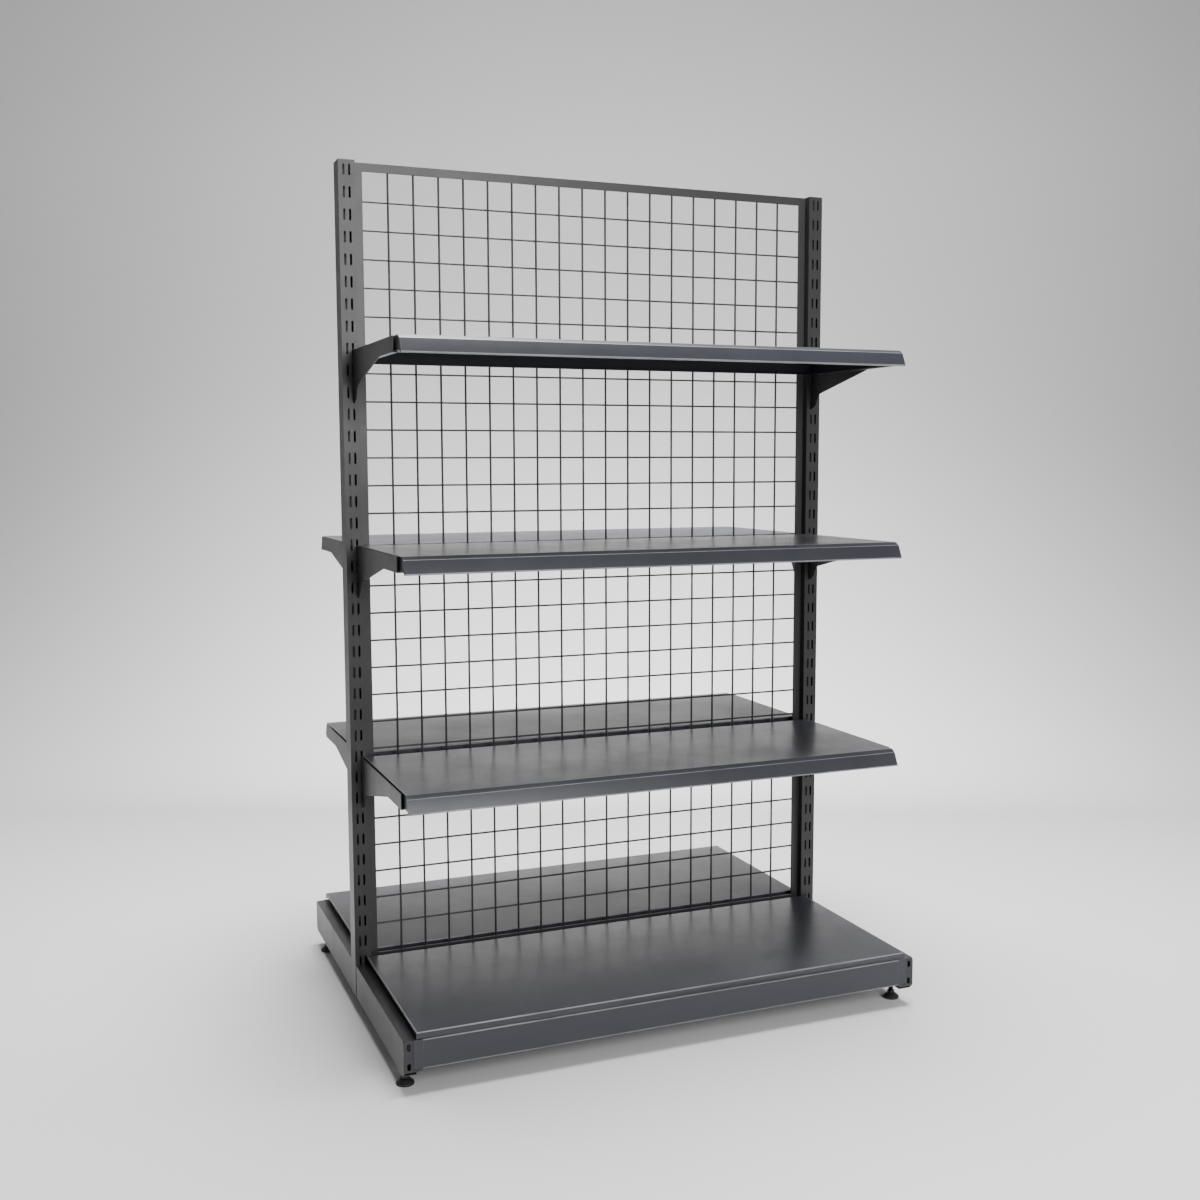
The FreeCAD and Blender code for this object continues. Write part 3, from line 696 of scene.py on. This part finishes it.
def base_deck(side):
    """Base deck with rounded folds and stepped side flanges."""
    node = "deck_" + side
    half, back, front, low, top, rear = front_corner(node)
    points = [(back, top - DECK_REAR_FLANGE), (back, top), (front, top), (front, top - DECK_FRONT_FLANGE)]
    body = sheet_sweep(rounded_line(points, BEND), SHEET, -half + FOLD_WIDTH, half - FOLD_WIDTH)
    cap_y = front + DECK_EDGE_CAP
    front_end = sheet_sweep(rounded_line([(cap_y, top)] + points[2:], BEND), SHEET, half - FOLD_WIDTH, half)
    step_z = top - DECK_STEP_DROP
    tight = BEND * 0.6
    rim_line = rounded_line([(-FOLD_WIDTH, top), (0, top), (0, step_z)], tight)
    foot_line = rounded_line([(0, step_z), (-DECK_STEP, step_z), (-DECK_STEP, top - DECK_FOOT_DROP)], tight)
    rim = end_sheet(half, rim_line, -SHEET, back, cap_y)
    foot = end_sheet(half, foot_line, -SHEET, back - 2 * MM, front + DECK_FOOT_SETBACK)
    end = joined_lists(front_end, rim, foot)
    parts = joined_lists(body, end, mirrored(end))
    place_sheet("base_deck_" + side, node, parts, rear, shelf_coat)


def kick_plate(side):
    """Kick plate with rounded folds, clipped lower corners and push-in tabs."""
    node = "kick_plate_" + side
    half, back, front, low, top, rear = front_corner(node)
    inner = KICK_RETURN_END_X
    points = [
        (front + KICK_RETURN, low + KICK_HEM),
        (front + KICK_RETURN, low),
        (front, low),
        (front, top),
        (front + KICK_RETURN, top),
    ]
    body = sheet_sweep(rounded_line(points, KICK_FOLD, 8), -SHEET, -inner, inner)
    end_outline = [(inner, low), (half, low + KICK_CORNER_RISE), (half, top), (inner, top)]
    tabs = []
    tab_y = (front + SHEET, front + KICK_TAB_REACH)
    tab_half = KICK_TAB_HEIGHT / 2
    for z in KICK_TAB_Z:
        tab = [
            (tab_y[0], z - tab_half),
            (tab_y[1], z - tab_half),
            (tab_y[1], z + tab_half),
            (tab_y[0], z + tab_half),
        ]
        tabs.append(plate_yz(tab, KICK_TAB_X - SHEET / 2, KICK_TAB_X + SHEET / 2))
    side_parts = joined_lists(plate_xz(end_outline, front, front + SHEET), *tabs)
    parts = joined_lists(body, side_parts, mirrored(side_parts))
    place_sheet("kick_plate_skin_" + side, node, parts, rear, shelf_coat)


# ---- levelling feet ----------------------------------------------------------------------
def levelling_pad(corner):
    """Moulded pad: scalloped grip edge, sloping shoulder and a rounded foot."""
    node = "foot_pad_" + corner
    low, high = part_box(node)
    centre = middle(node)
    r = (high[0] - low[0]) / 2
    tall = high[2] - low[2]
    edge = 5 * MM
    top_r = 11 * MM
    bore = 6.06 * MM
    floor_r = r - 1.2 * MM
    profile = [
        (0, 0.6 * MM),
        (floor_r - 3 * MM, 0.6 * MM),
        (floor_r - 2.4 * MM, 0),
        (floor_r, 0),
        (r - 0.3 * MM, 0.3 * MM),
        (r, 1.1 * MM),
        (r, edge - 1.2 * MM),
        (r - 0.3 * MM, edge - 0.4 * MM),
        (r - 1.3 * MM, edge + 0.2 * MM),
        (top_r + 0.8 * MM, tall - 0.7 * MM),
        (top_r, tall - 0.15 * MM),
        (top_r - 0.8 * MM, tall),
        (bore + 0.5 * MM, tall),
        (bore, tall - 0.5 * MM),
        (bore, 4 * MM),
        (0, 4 * MM),
    ]

    def grip(angle, radius, height):
        near_edge = radius > r - 0.6 * MM
        return 0.55 * MM * max(0.0, math.cos(angle * 24)) ** 2 if near_edge else 0

    vertices, faces = turned(profile, (centre.x, centre.y, low[2]), 192, grip)
    piece = mesh_piece("levelling_pad_" + corner, vertices, faces, black_plastic)
    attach(piece, node)
    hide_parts(node)


def levelling_stud(corner):
    """Threaded stud with the hexagon that turns it."""
    node = "foot_stud_" + corner
    low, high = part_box(node)
    centre = middle(node)
    hex_low, hex_high = STUD_HEX_Z
    foot_end = low[2]
    shank = [
        (0, foot_end),
        (STUD_R - STUD_LEAD, foot_end),
        (STUD_R, foot_end + STUD_LEAD),
        (STUD_R, hex_low + MM),
        (0, hex_low + MM),
    ]
    parts = joined_lists(
        turned(shank, (centre.x, centre.y, 0), 36),
        hex_ring(STUD_FLATS, hex_low, hex_high, centre),
        threaded(STUD_R, STUD_THREAD_DEPTH, STUD_PITCH, hex_high - 0.2 * MM, high[2], centre),
    )
    piece = mesh_piece("levelling_stud_" + corner, *parts, black_zinc)
    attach(piece, node)
    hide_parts(node)


for corner in CORNERS:
    levelling_pad(corner)
    levelling_stud(corner)
for level in SHELVES:
    shelf_pan(level)
for side in SIDES:
    base_deck(side)
    kick_plate(side)


# ---- bolts and screws --------------------------------------------------------------------
def leg_bolts():
    """Hexagon bolts through each leg's rear plate."""
    low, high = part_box("leg_bolts")
    x = high[0] - BOLT_FLATS / 2 / math.cos(math.pi / 6)
    z = (low[2] + high[2]) / 2
    parts = []
    for side_x in (-x, x):
        for side_y in (-1, 1):
            start = (side_x, side_y * high[1], z)
            head = hex_ring(BOLT_FLATS, 0, BOLT_HEAD, (0, 0), 0.6 * MM)
            thread_end = BOLT_HEAD + BOLT_LENGTH
            shank = threaded(BOLT_R, 0.7 * MM, BOLT_PITCH, BOLT_HEAD - 0.1 * MM, thread_end, (0, 0), 24)
            parts.append(along((0, -side_y, 0), start, joined_lists(head, shank)))
    piece = mesh_piece("leg_hexagon_bolts", *joined_lists(*parts), zinc)
    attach(piece, "frame")
    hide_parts("leg_bolts")


def pan_head():
    """Domed head standing on z = 0, with a cross-shaped dip in its top."""
    steps = 48
    rings = ((4.0, 0.0), (4.0, 0.9), (3.8, 1.5), (3.3, 1.95), (2.6, 2.15), (1.9, 2.2), (1.3, 2.2), (0.7, 2.2))
    vertices = []
    faces = []
    for r, h in rings:
        for i in range(steps):
            angle = 2 * math.pi * i / steps
            arm = min(abs(math.sin(angle)), abs(math.cos(angle))) * r
            dip = 0.0
            if r < 2.2:
                dip = 1.1 * max(0.0, min(1.0, (0.55 - arm) / 0.25)) * min(1.0, (2.2 - r) / 0.4)
            vertices.append((r * math.cos(angle) * MM, r * math.sin(angle) * MM, (h - dip) * MM))
    top = len(vertices)
    vertices.append((0, 0, 1.0 * MM))
    base = len(vertices)
    vertices.append((0, 0, 0))
    for row in range(len(rings) - 1):
        for i in range(steps):
            j = (i + 1) % steps
            faces.append((row * steps + i, row * steps + j, (row + 1) * steps + j, (row + 1) * steps + i))
    last = (len(rings) - 1) * steps
    for i in range(steps):
        j = (i + 1) % steps
        faces.append((last + i, last + j, top))
        faces.append((j, i, base))
    return vertices, faces


def clip_screws():
    """Pan-head screws with a cross recess, one through each clip."""
    clip_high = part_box("panel_clips")[1]
    low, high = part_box("clip_screws")
    y = (low[1] + high[1]) / 2
    face_x = clip_high[0] - CLIP_THICKNESS
    heights = []
    for panel in PANELS:
        bottom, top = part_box("back_panel_frame_" + panel)
        heights += [bottom[2] + CLIP_END_OFFSET, top[2] - CLIP_END_OFFSET]
    parts = []
    for z in heights:
        for side in (-1, 1):
            shank = threaded(SCREW_R, 0.3 * MM, SCREW_PITCH, 0, SCREW_LENGTH, (0, 0), 16)
            head = pan_head()
            parts.append(along((side, 0, 0), (side * face_x, y, z), shank))
            parts.append(along((-side, 0, 0), (side * face_x, y, z), head))
    piece = mesh_piece("pan_head_screws", *joined_lists(*parts), zinc)
    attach(piece, "frame")
    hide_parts("clip_screws")


leg_bolts()
clip_screws()


# ---- stage -------------------------------------------------------------------------------
def backdrop():
    """Pale seamless sweep: floor, curve and wall."""
    half = 9.0
    depth = 5.2
    curve = 3.2
    rows = [(-9.0, 0.0), (depth - curve, 0.0)]
    for i in range(1, 33):
        angle = math.pi / 2 * i / 32
        rows.append((depth - curve + curve * math.sin(angle), curve - curve * math.cos(angle)))
    rows.append((depth, 9.0))
    turn = Matrix.Rotation(math.radians(BACKDROP_TURN), 3, "Z")
    vertices = []
    faces = []
    for y, z in rows:
        for x in (-half, half):
            vertices.append(tuple(turn @ Vector((x, y, z))))
    for i in range(len(rows) - 1):
        a = 2 * i
        faces.append((a, a + 1, a + 3, a + 2))
    sweep = mesh_piece("backdrop_sweep", vertices, faces, backdrop_paper(), 60)


def backdrop_paper():
    material, g, shader = new_material("backdrop_paper")
    tone = g.group(tone_drift, Colour=(0.78, 0.78, 0.78, 1), Amount=0.01, Scale=0.8)["Colour"]
    g.feed(shader.inputs["Base Color"], tone)
    shader.inputs["Roughness"].default_value = 0.85
    shader.inputs["Specular IOR Level"].default_value = 0.2
    bump = g.add("Bump")
    bump.inputs["Strength"].default_value = 0.03
    g.feed(bump.inputs["Height"], g.group(orange_peel, Scale=120.0)["Height"])
    g.feed(shader.inputs["Normal"], bump.outputs["Normal"])
    return material


backdrop()


def soft_light(name, place, target, width, height, power, spread=180):
    """Rectangular softbox in watts, aimed at target, with its beam narrowed to spread degrees."""
    data = bpy.data.lights.new(name, "AREA")
    data.shape = "RECTANGLE"
    data.size = width
    data.size_y = height
    data.energy = power
    data.spread = math.radians(spread)
    lamp = bpy.data.objects.new(name, data)
    bpy.context.scene.collection.objects.link(lamp)
    lamp.location = place
    lamp.visible_camera = False
    lamp.rotation_euler = (Vector(target) - Vector(place)).to_track_quat("-Z", "Y").to_euler()


soft_light("overhead_softbox", (0.2, 0.15, 4.6), (0.1, 0.1, 0.0), 3.0, 2.2, 235, 120)
soft_light("front_softbox", (0.4, -4.9, 2.5), (0.0, 0.0, 1.2), 2.0, 2.6, 88, 120)
soft_light("right_fill", (4.2, -2.6, 2.0), (0.0, 0.0, 0.9), 1.6, 2.6, 28)
soft_light("wall_glow", (0.7, 1.6, 1.5), (2.0, 4.6, 1.2), 3.4, 1.2, 118)

world = bpy.data.worlds.new("studio_air")
world.use_nodes = True
air = world.node_tree.nodes["Background"]
air.inputs["Color"].default_value = (1.0, 1.0, 1.0, 1)
air.inputs["Strength"].default_value = 0.19
bpy.context.scene.world = world


# ---- camera ------------------------------------------------------------------------------
def set_camera():
    """Eye at chest height, in front and to the left of the bay."""
    yaw = math.radians(CAMERA_YAW)
    pitch = math.radians(CAMERA_PITCH)
    roll = math.radians(CAMERA_ROLL)
    look = Vector((math.sin(yaw) * math.cos(pitch), math.cos(yaw) * math.cos(pitch), math.sin(pitch)))
    right = look.cross(Vector((0, 0, 1))).normalized()
    up = right.cross(look)
    right, up = right * math.cos(roll) + up * math.sin(roll), up * math.cos(roll) - right * math.sin(roll)
    data = bpy.data.cameras.new("camera")
    data.sensor_width = 36.0
    data.lens = CAMERA_LENS
    camera = bpy.data.objects.new("camera", data)
    bpy.context.scene.collection.objects.link(camera)
    turn = Matrix((right, up, -look)).transposed().to_4x4()
    camera.matrix_world = Matrix.Translation(Vector(CAMERA_PLACE)) @ turn
    bpy.context.scene.camera = camera


set_camera()
